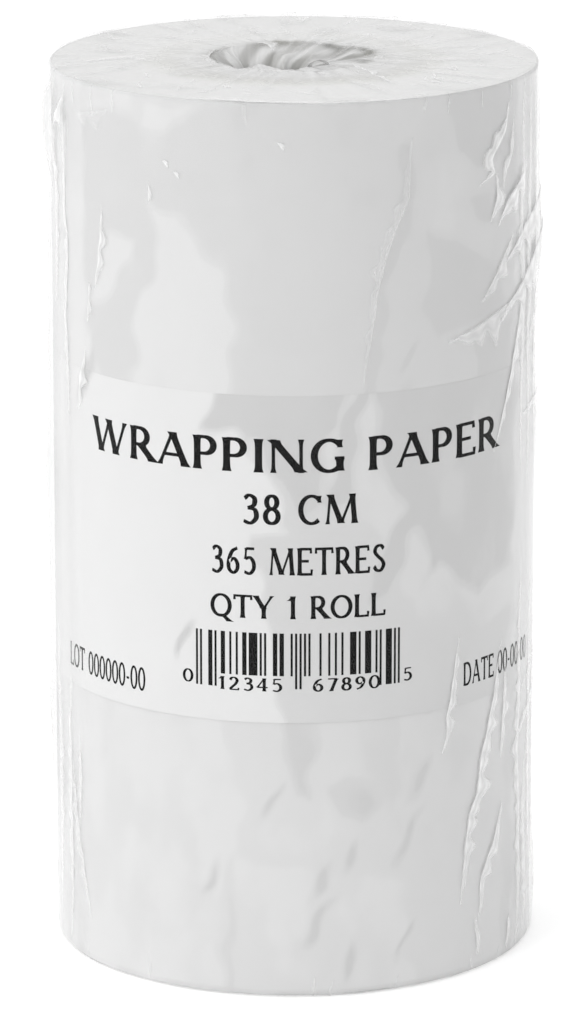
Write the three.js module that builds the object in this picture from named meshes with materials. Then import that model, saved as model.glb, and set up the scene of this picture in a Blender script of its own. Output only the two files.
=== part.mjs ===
// A roll of wrapping paper: one web wound on a chipboard core, labelled round the middle and
// shrink-wrapped, standing on end. Millimetres, +Z up along the roll's axis. The origin is the
// centre of the foot, and the middle of the label faces -Y.

import * as THREE from 'three';

// Driving dimensions
const WEB_WIDTH = 381;           // 15 in, the roll's length along its axis
const WEB_LENGTH = 365760;       // 1200 ft of paper
const PAPER_CALIPER = 0.0755;    // just under 3 thousandths of an inch, set so the web is 205.4 across
const CORE_BORE = 76.2;          // 3 in
const PLY_THICKNESS = 0.8;       // each spiral-wound strip of chipboard
const LABEL_LENGTH = 431.8;      // 17 in, round the roll
const LABEL_HEIGHT = 139.7;      // 5.5 in, along the roll
const LABEL_CENTRE_Z = 190.2;
const TAB_LENGTH = 50;           // tape tab on the web's loose end, round the roll
const TAB_HEIGHT = 25;
const START_TAPE_WIDTH = 25;     // round the core
const SHEET_THICKNESS = 0.2;     // label and tapes
const FILM_THICKNESS = 0.5;
const SKIRT_DEPTH = 20;          // how far the film reaches into the core's bore
const RIM_RADIUS = 2.5;          // the film's outside edge round the end faces
const EDGE_CHAMFER = 0.8;        // worn edge of the wound paper
const GAP = 0.3;                 // clearance between neighbouring pieces

// Worked out from the driving dimensions
const FOOT = FILM_THICKNESS + GAP;                   // height of the web's lower end face
const TOTAL_HEIGHT = WEB_WIDTH + 2 * FOOT;
const CORE_INNER_RADIUS = CORE_BORE / 2;
const PLY_PITCH = PLY_THICKNESS + GAP;
const CORE_OUTER_RADIUS = CORE_INNER_RADIUS + 3 * PLY_THICKNESS + 2 * GAP;
const START_TAPE_RADIUS = CORE_OUTER_RADIUS + GAP;
const WEB_BORE_RADIUS = START_TAPE_RADIUS + SHEET_THICKNESS + GAP;
const WEB_RADIUS = Math.sqrt((WEB_LENGTH * PAPER_CALIPER) / Math.PI + WEB_BORE_RADIUS ** 2);
const OUTER_SHEET_RADIUS = WEB_RADIUS + GAP;         // label and tabs lie on the web
const FILM_RADIUS = OUTER_SHEET_RADIUS + SHEET_THICKNESS + GAP + FILM_THICKNESS;
const TAB_HEIGHTS_Z = { upper: TOTAL_HEIGHT - 60, lower: 60 };

const FRONT = -Math.PI / 2;      // angle of -Y about +Z
const BACK = Math.PI / 2;
const LABEL_TURN = Math.PI / 180; // the label's middle sits a degree past the front
const ROLL_FACETS = 80;
const CORE_FACETS = 64;
const QUARTER = Math.PI / 2;

const MATERIALS = {
  film: material(0xf4f6f7, 0.12),
  label: material(0xeceded, 0.6),
  paper: material(0xf3f3f1, 0.8),
  chipboard: material(0xa9a598, 0.9),
  tape: material(0xe6e2d2, 0.35),
};
MATERIALS.film.transparent = true;
MATERIALS.film.opacity = 0.3;

function material(color, roughness) {
  return new THREE.MeshStandardMaterial({ color, roughness, metalness: 0 });
}

function piece(name, geometry, finish) {
  const mesh = new THREE.Mesh(geometry, finish);
  mesh.name = name;
  return mesh;
}

// A closed outline of (radius, height) points, turned about +Z.
function revolved(outline, facets) {
  const closed = [...outline, outline[0]];
  const geometry = new THREE.LatheGeometry(closed, facets);
  return geometry.rotateX(QUARTER);
}

// Points on an arc about (radius, height), from one angle to another.
function arc(radius, height, bend, from, to, steps) {
  const points = [];
  for (let i = 0; i <= steps; i += 1) {
    const angle = from + ((to - from) * i) / steps;
    points.push(new THREE.Vector2(radius + bend * Math.cos(angle), height + bend * Math.sin(angle)));
  }
  return points;
}

// A plain tube wall between two radii, as long as the web is wide.
function tube(inner, outer, facets) {
  const top = FOOT + WEB_WIDTH;
  const outline = [
    new THREE.Vector2(inner, FOOT),
    new THREE.Vector2(outer, FOOT),
    new THREE.Vector2(outer, top),
    new THREE.Vector2(inner, top),
  ];
  return revolved(outline, facets);
}

// A thin rectangle bent round the roll's axis, lying on the given radius.
function wrappedStrip(radius, length, height, middleAngle, middleZ) {
  const half = length / 2 / radius;
  const shape = new THREE.Shape();
  shape.absarc(0, 0, radius + SHEET_THICKNESS, middleAngle - half, middleAngle + half, false);
  shape.absarc(0, 0, radius, middleAngle + half, middleAngle - half, true);
  const facets = Math.ceil((half * ROLL_FACETS) / Math.PI);
  const options = { depth: height, bevelEnabled: false, curveSegments: facets };
  return new THREE.ExtrudeGeometry(shape, options).translate(0, 0, middleZ - height / 2);
}

function corePly(index) {
  const inner = CORE_INNER_RADIUS + index * PLY_PITCH;
  return tube(inner, inner + PLY_THICKNESS, CORE_FACETS);
}

function paperWeb() {
  const top = FOOT + WEB_WIDTH;
  const outline = [
    new THREE.Vector2(WEB_BORE_RADIUS, FOOT),
    new THREE.Vector2(WEB_RADIUS - EDGE_CHAMFER, FOOT),
    new THREE.Vector2(WEB_RADIUS, FOOT + EDGE_CHAMFER),
    new THREE.Vector2(WEB_RADIUS, top - EDGE_CHAMFER),
    new THREE.Vector2(WEB_RADIUS - EDGE_CHAMFER, top),
    new THREE.Vector2(WEB_BORE_RADIUS, top),
  ];
  return revolved(outline, ROLL_FACETS);
}

// One side of the film's section, from the end of the lower skirt, round the roll's outside, to the
// end of the upper skirt. The inset is how far the line lies inside the film's outside face.
function filmLine(inset) {
  const skirtRadius = CORE_INNER_RADIUS - GAP - FILM_THICKNESS + inset;
  const foldRadius = FOOT - inset;
  const rimRadius = RIM_RADIUS - inset;
  const rimCentre = FILM_RADIUS - RIM_RADIUS;
  const topFold = TOTAL_HEIGHT - FOOT;
  const topRim = TOTAL_HEIGHT - RIM_RADIUS;
  return [
    new THREE.Vector2(skirtRadius, SKIRT_DEPTH),
    ...arc(CORE_INNER_RADIUS, FOOT, foldRadius, Math.PI, Math.PI + QUARTER, 2),
    ...arc(rimCentre, RIM_RADIUS, rimRadius, -QUARTER, 0, 3),
    ...arc(rimCentre, topRim, rimRadius, 0, QUARTER, 3),
    ...arc(CORE_INNER_RADIUS, topFold, foldRadius, QUARTER, Math.PI, 2),
    new THREE.Vector2(skirtRadius, TOTAL_HEIGHT - SKIRT_DEPTH),
  ];
}

function shrinkFilm() {
  const outside = filmLine(0);
  const inside = filmLine(FILM_THICKNESS).reverse();
  return revolved([...outside, ...inside], ROLL_FACETS);
}

function core() {
  const group = new THREE.Group();
  ['inner', 'middle', 'outer'].forEach((place, index) => {
    group.add(piece(`core_${place}_ply`, corePly(index), MATERIALS.chipboard));
  });
  return group;
}

function woundPaper() {
  const group = new THREE.Group();
  const startTape = wrappedStrip(START_TAPE_RADIUS, START_TAPE_WIDTH, WEB_WIDTH, BACK, TOTAL_HEIGHT / 2);
  group.add(piece('core_start_tape', startTape, MATERIALS.tape));
  group.add(piece('paper_web', paperWeb(), MATERIALS.paper));
  for (const [place, height] of Object.entries(TAB_HEIGHTS_Z)) {
    const tab = wrappedStrip(OUTER_SHEET_RADIUS, TAB_LENGTH, TAB_HEIGHT, BACK, height);
    group.add(piece(`tail_tape_${place}`, tab, MATERIALS.tape));
  }
  return group;
}

function wrapping() {
  const group = new THREE.Group();
  const middle = FRONT + LABEL_TURN;
  const label = wrappedStrip(OUTER_SHEET_RADIUS, LABEL_LENGTH, LABEL_HEIGHT, middle, LABEL_CENTRE_Z);
  group.add(piece('label_sheet', label, MATERIALS.label));
  group.add(piece('shrink_film', shrinkFilm(), MATERIALS.film));
  return group;
}

const roll = new THREE.Group();
roll.add(core(), woundPaper(), wrapping());

export default roll;
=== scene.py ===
import math

import bpy
import numpy as np
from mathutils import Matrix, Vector
from mathutils.geometry import delaunay_2d_cdt


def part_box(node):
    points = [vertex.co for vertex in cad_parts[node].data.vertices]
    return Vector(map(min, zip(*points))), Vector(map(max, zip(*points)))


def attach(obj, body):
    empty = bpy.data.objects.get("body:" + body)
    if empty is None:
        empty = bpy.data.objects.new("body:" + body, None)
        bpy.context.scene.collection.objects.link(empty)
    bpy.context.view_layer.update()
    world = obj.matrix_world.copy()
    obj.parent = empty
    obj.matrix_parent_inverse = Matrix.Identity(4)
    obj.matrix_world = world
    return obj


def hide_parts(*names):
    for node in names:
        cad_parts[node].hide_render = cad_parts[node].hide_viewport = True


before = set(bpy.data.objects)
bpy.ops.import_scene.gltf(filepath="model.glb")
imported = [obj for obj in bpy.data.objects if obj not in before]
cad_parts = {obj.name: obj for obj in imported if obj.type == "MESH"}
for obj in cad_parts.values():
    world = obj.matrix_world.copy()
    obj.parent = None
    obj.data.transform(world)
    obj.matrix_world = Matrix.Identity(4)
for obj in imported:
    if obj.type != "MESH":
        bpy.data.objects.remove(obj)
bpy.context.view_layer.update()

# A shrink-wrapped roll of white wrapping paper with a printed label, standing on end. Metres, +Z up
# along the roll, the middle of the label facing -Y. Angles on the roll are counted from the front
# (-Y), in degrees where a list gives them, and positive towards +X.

MM = 0.001
SEED = 7

# Places taken from the CAD frame
web_low, web_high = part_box("paper_web")
label_low, label_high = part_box("label_sheet")
WEB_RADIUS = web_high.x
WEB_FOOT = web_low.z
WEB_TOP = web_high.z
FLOOR_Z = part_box("shrink_film")[0].z
PLY = 0.8 * MM                                  # each strip of the core
BORE_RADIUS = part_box("core_inner_ply")[1].x - PLY
GAP = 0.3 * MM                                  # between neighbouring pieces
WEB_BORE_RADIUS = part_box("core_start_tape")[1].y + GAP

# The sheets that lie on the web
LABEL_LENGTH = 431.8 * MM
LABEL_RADIUS = WEB_RADIUS                       # for turning lengths round the label into angles
LABEL_THICKNESS = 0.07 * MM
LABEL_TURN = math.radians(1.0)
LABEL_CURL = 0.3 * MM                           # how far its lower edge stands off
CURL_HEIGHT = 5 * MM
INK_THICKNESS = 0.025 * MM
TAPE_THICKNESS = 0.12 * MM
TAIL_STEP = 0.14 * MM                           # where the web's last turn ends
SLACK = 0.06 * MM                               # how far the web's surface wanders

# The film
FILM_STANDOFF = 0.4 * MM
FILM_FOOT = FLOOR_Z + 0.15 * MM
FILM_TOP = WEB_TOP + 0.3 * MM
RIM_BEND = 2.2 * MM                             # the film's bend round the roll's edges
MOUTH_RADIUS = BORE_RADIUS - 2.4 * MM           # where the film starts to sag into the core
HOLE_RADIUS = 15 * MM                           # the hole left in it, before it is drawn to one side
SAG = 5 * MM
PLUNGE = 9 * MM                                 # the torn edge of the hole, hanging into the core


# Meshes

def mesh_object(name, vertices, faces, material, smooth=True):
    """A piece with this mesh and material, fixed to the roll's one body."""
    mesh = bpy.data.meshes.new(name)
    mesh.from_pydata([tuple(v) for v in vertices], [], faces)
    mesh.polygons.foreach_set("use_smooth", [smooth] * len(mesh.polygons))
    mesh.validate()
    mesh.update()
    piece = bpy.data.objects.new(name, mesh)
    bpy.context.scene.collection.objects.link(piece)
    mesh.materials.append(material)
    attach(piece, "root")
    return piece


def append_mesh(vertices, faces, points, polygons):
    """Adds the points and polygons of one mesh to the lists of a larger one."""
    faces += [[v + len(vertices) for v in polygon] for polygon in polygons]
    vertices += points.tolist()


def grid_faces(rows, columns, closed_rows=False, closed_columns=False, first=0):
    """Quads between the points of a grid that is stored row by row."""
    i = np.arange(rows if closed_rows else rows - 1)[:, None]
    j = np.arange(columns if closed_columns else columns - 1)[None, :]
    below, right = (i + 1) % rows, (j + 1) % columns
    quads = np.stack(np.broadcast_arrays(
        i * columns + j, i * columns + right, below * columns + right, below * columns + j), -1)
    return (quads.reshape(-1, 4) + first).tolist()


def on_roll(radius, angle, height):
    """Points at a distance from the axis, an angle in radians from the front, and a height."""
    return np.stack(np.broadcast_arrays(radius * np.sin(angle), -radius * np.cos(angle), height), -1)


def waves(rng, count, turns, angle, lengths, along):
    """A smooth random pattern, mostly between -1 and 1, that closes round the roll."""
    total = 0.0
    for _ in range(count):
        n = rng.integers(*turns)
        length = rng.uniform(*lengths) * rng.choice([-1, 1])
        total = total + np.cos(n * angle + math.tau * along / length + rng.uniform(0, math.tau))
    return total / math.sqrt(count * 2)


def soft_step(value):
    """Runs smoothly from 0 to 1 as the value passes 0."""
    return 0.5 * (1 + np.tanh(value / 2))


def bump_at(angle, height, middle, half_angle, half_height):
    """A soft mound on the roll's side, 1 at its middle."""
    across = (np.degrees(angle) - middle[0] + 180) % 360 - 180
    along = (height / MM - middle[1]) / half_height
    return np.exp(-(across / half_angle) ** 2 - along ** 2)


def inside_outline(angle, height, outline, softness):
    """1 inside an outline of (angle, height in mm) corners on the roll's side, 0 outside. Softness is
    about how wide the border between them is, in mm."""
    x, y = np.broadcast_arrays(angle * WEB_RADIUS / MM, height / MM)
    corners = np.array([(math.radians(a) * WEB_RADIUS / MM, h) for a, h in outline])
    nearest = np.full(x.shape, np.inf)
    inside = np.zeros(x.shape, bool)
    for (x0, y0), (x1, y1) in zip(corners, np.roll(corners, -1, axis=0)):
        dx, dy = x1 - x0, y1 - y0
        t = np.clip(((x - x0) * dx + (y - y0) * dy) / (dx * dx + dy * dy), 0, 1)
        nearest = np.minimum(nearest, np.hypot(x - x0 - t * dx, y - y0 - t * dy))
        if dy:
            inside ^= ((y0 > y) != (y1 > y)) & (x < x0 + (y - y0) * dx / dy)
    signed = np.where(inside, nearest, -nearest)
    return soft_step(signed * 4 / softness)


def shell(name, inner, outer, material):
    """A closed sheet between two grids of the same shape, with crisp edges round its rim. Rows run
    to the right as the sheet is seen from outside, columns up."""
    rows, columns = inner.shape[:2]
    count = rows * columns
    front = [[a, d, c, b] for a, b, c, d in grid_faces(rows, columns)]
    back = grid_faces(rows, columns, first=count)
    border = ([j for j in range(columns - 1)]
              + [i * columns + columns - 1 for i in range(rows - 1)]
              + [(rows - 1) * columns + j for j in range(columns - 1, 0, -1)]
              + [i * columns for i in range(rows - 1, 0, -1)])
    rim = [[a, b, b + count, a + count] for a, b in zip(border, border[1:] + border[:1])]
    vertices = np.concatenate([outer.reshape(-1, 3), inner.reshape(-1, 3)])
    piece = mesh_object(name, vertices, front + back + rim, material)
    on_border = np.isin(np.arange(2 * count) % count, border)
    for edge in piece.data.edges:
        edge.use_edge_sharp = bool(on_border[edge.vertices[0]] and on_border[edge.vertices[1]])
    return piece


# Materials

def grey(value):
    return (value, value, value)


def material_nodes(name, base, roughness):
    """A material with one Principled shader, and what is needed to add nodes to it."""
    material = bpy.data.materials.new(name)
    material.use_nodes = True
    shader = material.node_tree.nodes["Principled BSDF"]
    shader.inputs["Base Color"].default_value = (*base, 1)
    shader.inputs["Roughness"].default_value = roughness
    return material, material.node_tree, shader


def add_node(tree, kind, inputs=(), **settings):
    """A node with its settings, each input linked to a socket or set to a value."""
    node = tree.nodes.new(kind)
    for key, value in settings.items():
        setattr(node, key, value)
    for key, value in dict(inputs).items():
        if isinstance(value, bpy.types.NodeSocket):
            tree.links.new(value, node.inputs[key])
        else:
            node.inputs[key].default_value = value
    return node


def place(tree, scale=(1, 1, 1)):
    """The point on the piece, in metres, stretched by scale."""
    where = add_node(tree, "ShaderNodeTexCoord")
    stretched = add_node(tree, "ShaderNodeMapping", {"Vector": where.outputs["Object"], "Scale": scale})
    return stretched.outputs[0]


def noise(tree, vector, scale, detail=3.0, roughness=0.55):
    return add_node(tree, "ShaderNodeTexNoise", {
        "Vector": vector, "Scale": scale, "Detail": detail, "Roughness": roughness}).outputs["Fac"]


def between(tree, factor, low, high, start=0.3, end=0.7):
    """A colour that runs from low to high as the factor runs from start to end."""
    ramp = add_node(tree, "ShaderNodeValToRGB", {"Fac": factor})
    ramp.color_ramp.elements[0].position = start
    ramp.color_ramp.elements[0].color = (*low, 1)
    ramp.color_ramp.elements[1].position = end
    ramp.color_ramp.elements[1].color = (*high, 1)
    return ramp.outputs[0]


def coloured(tree, shader, factor, low, high):
    tree.links.new(between(tree, factor, low, high), shader.inputs["Base Color"])


def bumpy(tree, height, strength, distance, *shaders):
    """Gives the shaders a relief, up to a distance in metres deep."""
    settings = {"Height": height, "Strength": strength, "Distance": distance}
    bump = add_node(tree, "ShaderNodeBump", settings)
    for shader in shaders:
        tree.links.new(bump.outputs[0], shader.inputs["Normal"])


def set_attribute(piece, name, values):
    attribute = piece.data.attributes.new(name, "FLOAT", "POINT")
    attribute.data.foreach_set("value", np.asarray(values, np.float32).ravel())


def under_film(tree, shader, light, clinging):
    """The colour of a sheet under the film: it darkens where the film clings, as paper does when wet, with
    a crisp border to each patch. The same attribute also carries painted shade: the patches' layout partly
    follows the fall of light, and its darkest step is a painted contact shadow at the roll's foot."""
    cling_and_shade = add_node(tree, "ShaderNodeAttribute", attribute_name="cling_and_shade").outputs["Fac"]
    cloud = noise(tree, place(tree, (1, 1, 0.6)), 55, 3, 0.5)
    shifted = add_node(tree, "ShaderNodeMapRange", {"Value": cloud, "From Min": 0.3, "From Max": 0.7,
                                                    "To Min": -0.07, "To Max": 0.07}).outputs[0]
    level = add_node(tree, "ShaderNodeMath", {0: cling_and_shade, 1: shifted}, operation="ADD").outputs[0]
    steps = add_node(tree, "ShaderNodeValToRGB", {"Fac": level})
    places = (0.0, 0.27, 0.33, 0.47, 0.53, 0.70, 0.76, 0.93, 1.0)
    # The last step, darker than the clinging colour, is reached only by the painted contact shadow at the
    # roll's foot.
    amounts = (0.0, 0.12, 0.32, 0.42, 0.6, 0.7, 0.92, 1.0, 2.4)
    while len(steps.color_ramp.elements) < len(places):
        steps.color_ramp.elements.new(0.5)
    for element, position, amount in zip(steps.color_ramp.elements, places, amounts):
        element.position = position
        element.color = [a * (1 - amount) + b * amount for a, b in zip((*light, 1), (*clinging, 1))]
    tree.links.new(steps.outputs[0], shader.inputs["Base Color"])


def white_paper():
    """Machine-glazed kraft with a fine tooth."""
    material, tree, shader = material_nodes("white_paper", (0.8, 0.8, 0.79), 0.72)
    under_film(tree, shader, grey(0.775), grey(0.635))
    bumpy(tree, noise(tree, place(tree), 1800, 3), 0.25, 0.06 * MM, shader)
    return material


def paper_edges():
    """The cut edges of all the turns, as fine rings on the end faces."""
    material, tree, shader = material_nodes("paper_edges", (0.76, 0.76, 0.74), 0.85)
    flat = place(tree, (1, 1, 0))
    radius = add_node(tree, "ShaderNodeVectorMath", {0: flat}, operation="LENGTH").outputs["Value"]
    line = add_node(tree, "ShaderNodeCombineXYZ", {"X": radius}).outputs[0]
    rings = noise(tree, line, 1500, 5, 0.7)
    plain = between(tree, rings, (0.80, 0.80, 0.795), (0.88, 0.88, 0.875))
    warm = between(tree, rings, (0.80, 0.795, 0.74), (0.88, 0.875, 0.82))
    near_core = add_node(tree, "ShaderNodeMapRange", {
        "Value": radius, "From Min": WEB_BORE_RADIUS, "From Max": WEB_BORE_RADIUS + 25 * MM,
        "To Min": 1.0, "To Max": 0.0}).outputs[0]
    colour = add_node(tree, "ShaderNodeMix", {0: near_core}, data_type="RGBA")
    tree.links.new(plain, colour.inputs[6])
    tree.links.new(warm, colour.inputs[7])
    tree.links.new(colour.outputs[2], shader.inputs["Base Color"])
    bumpy(tree, rings, 0.5, 0.2 * MM, shader)
    return material


def chipboard():
    """Grey recycled board: fibres lying along the strip, and dark flecks."""
    material, tree, shader = material_nodes("chipboard", (0.45, 0.44, 0.4), 0.92)
    fibres = noise(tree, place(tree, (1, 1, 0.3)), 900, 5, 0.7)
    coloured(tree, shader, fibres, (0.40, 0.39, 0.33), (0.58, 0.57, 0.50))
    bumpy(tree, fibres, 0.4, 0.2 * MM, shader)
    return material


def label_paper():
    """Smoother paper than the web's."""
    material, tree, shader = material_nodes("label_paper", (0.76, 0.76, 0.755), 0.6)
    under_film(tree, shader, grey(0.80), grey(0.61))
    bumpy(tree, noise(tree, place(tree), 2500, 2), 0.2, 0.04 * MM, shader)
    return material


def ink():
    """Toner, slightly uneven in the solid areas."""
    material, tree, shader = material_nodes("ink", grey(0.006), 0.6)
    coloured(tree, shader, noise(tree, place(tree), 1400, 3, 0.7), grey(0.002), grey(0.009))
    shader.inputs["Specular IOR Level"].default_value = 0.08
    return material


def tape():
    """Crepe paper tape, crinkled across its length."""
    material, tree, shader = material_nodes("crepe_tape", (0.78, 0.74, 0.6), 0.55)
    crinkle = noise(tree, place(tree, (0.25, 0.25, 1.6)), 900, 3, 0.6)
    coloured(tree, shader, crinkle, (0.70, 0.66, 0.53), (0.82, 0.785, 0.66))
    bumpy(tree, crinkle, 0.5, 0.1 * MM, shader)
    return material


def clear_film(name, milk, most_haze):
    """Thin clear film: it lets the paper show, mirrors a little light, more at a slant, and turns
    milky where the haze attribute says that it stands off or lies in folds."""
    material, tree, shader = material_nodes(name, grey(milk), 0.3)
    haze = add_node(tree, "ShaderNodeAttribute", attribute_name="haze").outputs["Fac"]
    milky = add_node(tree, "ShaderNodeMath", {0: haze, 1: most_haze}, operation="MULTIPLY").outputs[0]
    clear = add_node(tree, "ShaderNodeBsdfTransparent").outputs[0]
    body = add_node(tree, "ShaderNodeMixShader", {0: milky, 1: clear, 2: shader.outputs[0]}).outputs[0]
    facing = add_node(tree, "ShaderNodeLayerWeight", {"Blend": 0.5}).outputs["Facing"]
    slant = add_node(tree, "ShaderNodeMath", {0: facing, 1: 5.0}, operation="POWER").outputs[0]
    mirrored = add_node(tree, "ShaderNodeMapRange", {
        "Value": slant, "To Min": 0.006, "To Max": 0.7}).outputs[0]
    gloss = add_node(tree, "ShaderNodeBsdfGlossy", {"Color": (1, 1, 1, 1), "Roughness": 0.12})
    ripples = noise(tree, place(tree, (1, 1, 0.35)), 260, 2)
    bumpy(tree, ripples, 0.35, 0.4 * MM, gloss, shader)
    out = tree.nodes["Material Output"]
    both = add_node(tree, "ShaderNodeMixShader", {0: mirrored, 1: body, 2: gloss.outputs[0]})
    tree.links.new(both.outputs[0], out.inputs["Surface"])
    return material


# The core: three strips of board, each wound as a helix and cut square at the ends

def spiral_ply(name, inner, turn, material):
    """A strip one pitch wide, less a hair's gap, wound between the ends of the roll. Where an end
    cuts it, the strip runs out to a point."""
    pitch, gap, across = 120 * MM, 0.4 * MM, 10
    columns_per_turn, least_width = 160, 0.2 * MM
    length = WEB_TOP - WEB_FOOT
    start = -math.tau - turn
    end = (length / pitch) * math.tau - turn
    angles = np.arange(start, end, math.tau / columns_per_turn)[:, None]
    lower = pitch * (angles + turn) / math.tau + gap
    upper = lower + pitch - gap
    t = np.linspace(0, 1, across)[None, :]
    lower, upper = np.clip(lower, 0, length), np.clip(upper, 0, length)
    heights = lower * (1 - t) + upper * t
    kept = (upper - lower)[:, 0] > least_width
    angles, heights = angles[kept], heights[kept] + WEB_FOOT
    inside = on_roll(inner, angles, heights)
    outside = on_roll(inner + PLY, angles, heights)
    return shell(name, inside, outside, material)


def core(material):
    """The three plies, each turned so that their joints don't lie over each other."""
    turn_between = 2.1
    for index, place_name in enumerate(("inner", "middle", "outer")):
        node = f"core_{place_name}_ply"
        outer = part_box(node)[1].x
        ply = spiral_ply(f"{node}_spiral", outer - PLY, index * turn_between, material)
        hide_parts(node)


# Where the film clings, and painted shade on the paper under it

# Patches over the front: how closely the film clings there, which darkens the paper, and the patch's
# outline as angles and heights in mm. Later ones lie over earlier ones. Their layout, lighter on the left
# and darkest right of the middle, is partly painted shade that follows the light falling from the left.
PAPER_PATCHES = (
    (0.30, ((-40, 400), (-40, 250), (-24, 200), (-16, 120), (-12, 80), (-17, 45), (-16, -10), (-120, -10),
            (-120, 400))),
    (0.66, ((-14, 400), (66, 400), (66, 240), (-14, 240))),
    (0.55, ((-59, 372), (-36, 371), (-24, 378), (-14, 382), (-10, 300), (-14, 240), (-48, 240),
            (-58, 285))),
    (0.06, ((-110, 400), (-59, 400), (-59, 286), (-56, 270), (-61, 200), (-63, 90), (-110, 90))),
    (0.20, ((-35, 337), (-28, 333), (-23, 322), (-17, 306), (-14, 297), (-15, 286), (-15, 240),
            (-40, 240),
            (-40, 288), (-36, 303), (-33, 320))),
    (0.22, ((-49, 319), (-39, 322), (-41, 312), (-46, 300), (-49, 293), (-55, 288), (-52, 305))),
    (0.25, ((-36, 379), (-23, 380), (-26, 373), (-32, 366), (-39, 369))),
    (0.30, ((-14, 60), (28, 50), (28, -10), (-14, -10))),
    (0.42, ((24, 140), (62, 140), (60, -10), (30, -10), (26, 60))),
    (0.80, ((-5, 140), (7, 140), (5, 104), (3, 87), (0, 88), (-2, 107))),
    (0.78, ((8, 93), (12, 96), (18, 89), (21, 82), (16, 77), (11, 79))),
    (0.95, ((26, 364), (29, 361), (28, 340), (26, 328), (24, 316), (22, 303), (20, 283), (18, 240),
            (14, 240),
            (18, 283), (20, 303), (21, 317), (24, 329), (26, 341))),
    (0.55, ((23, 380), (31, 377), (31, 365), (24, 364))),
    (0.52, ((37, 359), (44, 358), (49, 350), (52, 342), (45, 337), (40, 335), (45, 326), (52, 321),
            (53, 311),
            (42, 314), (33, 324), (29, 324), (30, 350))),
    (0.82, ((33, 327), (40, 323), (54, 303), (59, 290), (46, 283), (36, 282), (32, 293), (32, 305))),
    (0.88, ((38, 384), (60, 384), (58, 356), (54, 349), (47, 352), (41, 358))),
    (0.90, ((45, 337), (53, 337), (53, 325), (47, 326))),
    (0.88, ((47, 275), (61, 281), (62, 240), (48, 240))),
    (0.15, ((64, 400), (110, 400), (110, -10), (66, -10))),
)
# The same patches on the label: wet-out, and laid out partly as painted shade, lighter on the left where
# the light falls.
LABEL_PATCHES = (
    (0.12, ((-120, 280), (-16, 280), (-14, 240), (-6, 226), (-2, 205), (10, 180), (4, 150), (8, 100),
            (-120, 100))),
    (0.85, ((-18, 280), (9, 280), (11, 248), (7, 241), (6, 226), (8, 216), (1, 210), (-2, 224), (-6, 229),
            (-7, 241), (-12, 240), (-16, 245), (-20, 246))),
    (0.80, ((18, 280), (64, 280), (64, 175), (48, 168), (36, 182), (26, 212), (20, 228))),
    (0.60, ((-10, 200), (18, 205), (30, 160), (50, 150), (62, 160), (62, 100), (0, 100))),
    (0.97, ((15, 280), (20, 280), (14, 236), (12, 214), (8, 214), (11, 237))),
    (0.88, ((28, 212), (31, 206), (26, 188), (22, 174), (18, 171), (20, 190))),
    (0.15, ((65, 280), (120, 280), (120, 100), (66, 100))),
)
# Small dark touches, which lean to the right: angle, height and half-length in mm
TOUCHES = (
    (28, 274, 5), (25, 254, 7), (31, 93, 7), (28, 66, 8), (14, 62, 5), (7, 51, 6), (28, 22, 5),
    (13, 15, 6), (-5, 85, 6), (-26, 153, 6), (-58, 258, 11), (35, 186, 5), (5, 32, 9), (-20, 50, 6),
)
CLOSEST = 0.86                                  # how closely the film clings at most, above the foot
PATCH_BORDER = 3.0                              # mm
PATCH_WOBBLE = 2.6 * MM                         # how far the patches' borders wander


def cling_and_shade(angle, height, patches):
    """How closely the film clings to the sheet under it, from 0 to 1, with painted shade in it: the
    patches' layout partly follows the fall of light, and the foot gets a painted contact shadow.
    """
    rng = np.random.default_rng(SEED + 6)
    wobble = waves(rng, 6, (8, 24), angle, (0.02, 0.06), height)
    wander = waves(rng, 6, (8, 24), angle, (0.02, 0.06), height)
    broad = waves(rng, 9, (2, 7), angle, (0.08, 0.4), height)
    amount = 0.5 + 0.22 * broad
    shifted_angle = angle + wobble * PATCH_WOBBLE / WEB_RADIUS
    shifted_height = height + wander * PATCH_WOBBLE
    for value, outline in patches:
        mask = inside_outline(shifted_angle, shifted_height, outline, PATCH_BORDER)
        amount = amount * (1 - mask) + (value + 0.06 * broad) * mask
    for a, h, long in TOUCHES:
        lean = np.degrees(0.5 * (shifted_height - h * MM) / WEB_RADIUS)
        narrow = math.degrees(0.3 * long * MM / WEB_RADIUS)
        mask = np.clip(1.6 * bump_at(shifted_angle, shifted_height, (a + lean, h), narrow, long), 0, 1)
        amount = amount + (CLOSEST - amount) * mask
    # Painted contact shadow along the roll's foot, wider towards the right, away from the key lamp. It goes
    # past the closest cling, to the darkest colour step.
    shade = 1.4 * MM + 1.2 * MM * np.sin(angle) + 0.4 * MM * wobble
    foot = np.exp(-(np.maximum(height - WEB_FOOT, 0) / shade.clip(0.5 * MM)) ** 2)
    return np.maximum(np.clip(amount, 0, CLOSEST), foot)


# The wound paper

def web_surface(angle, height):
    """The web's radius: a little slack here and there, and a step where the last turn ends."""
    rng = np.random.default_rng(SEED + 8)
    slack = waves(rng, 5, (2, 7), angle, (0.3, 0.9), height) * SLACK
    tail = (angle / math.tau + 0.5) % 1.0
    return WEB_RADIUS + slack - TAIL_STEP * tail


def over_step(angle, height):
    """The radius of a sheet that lies on the web and bridges the step of its last turn."""
    reach = math.radians(1.5)
    beside = [web_surface(angle + shift, height) for shift in (-reach, 0, reach)]
    return np.maximum.reduce(beside)


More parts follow.
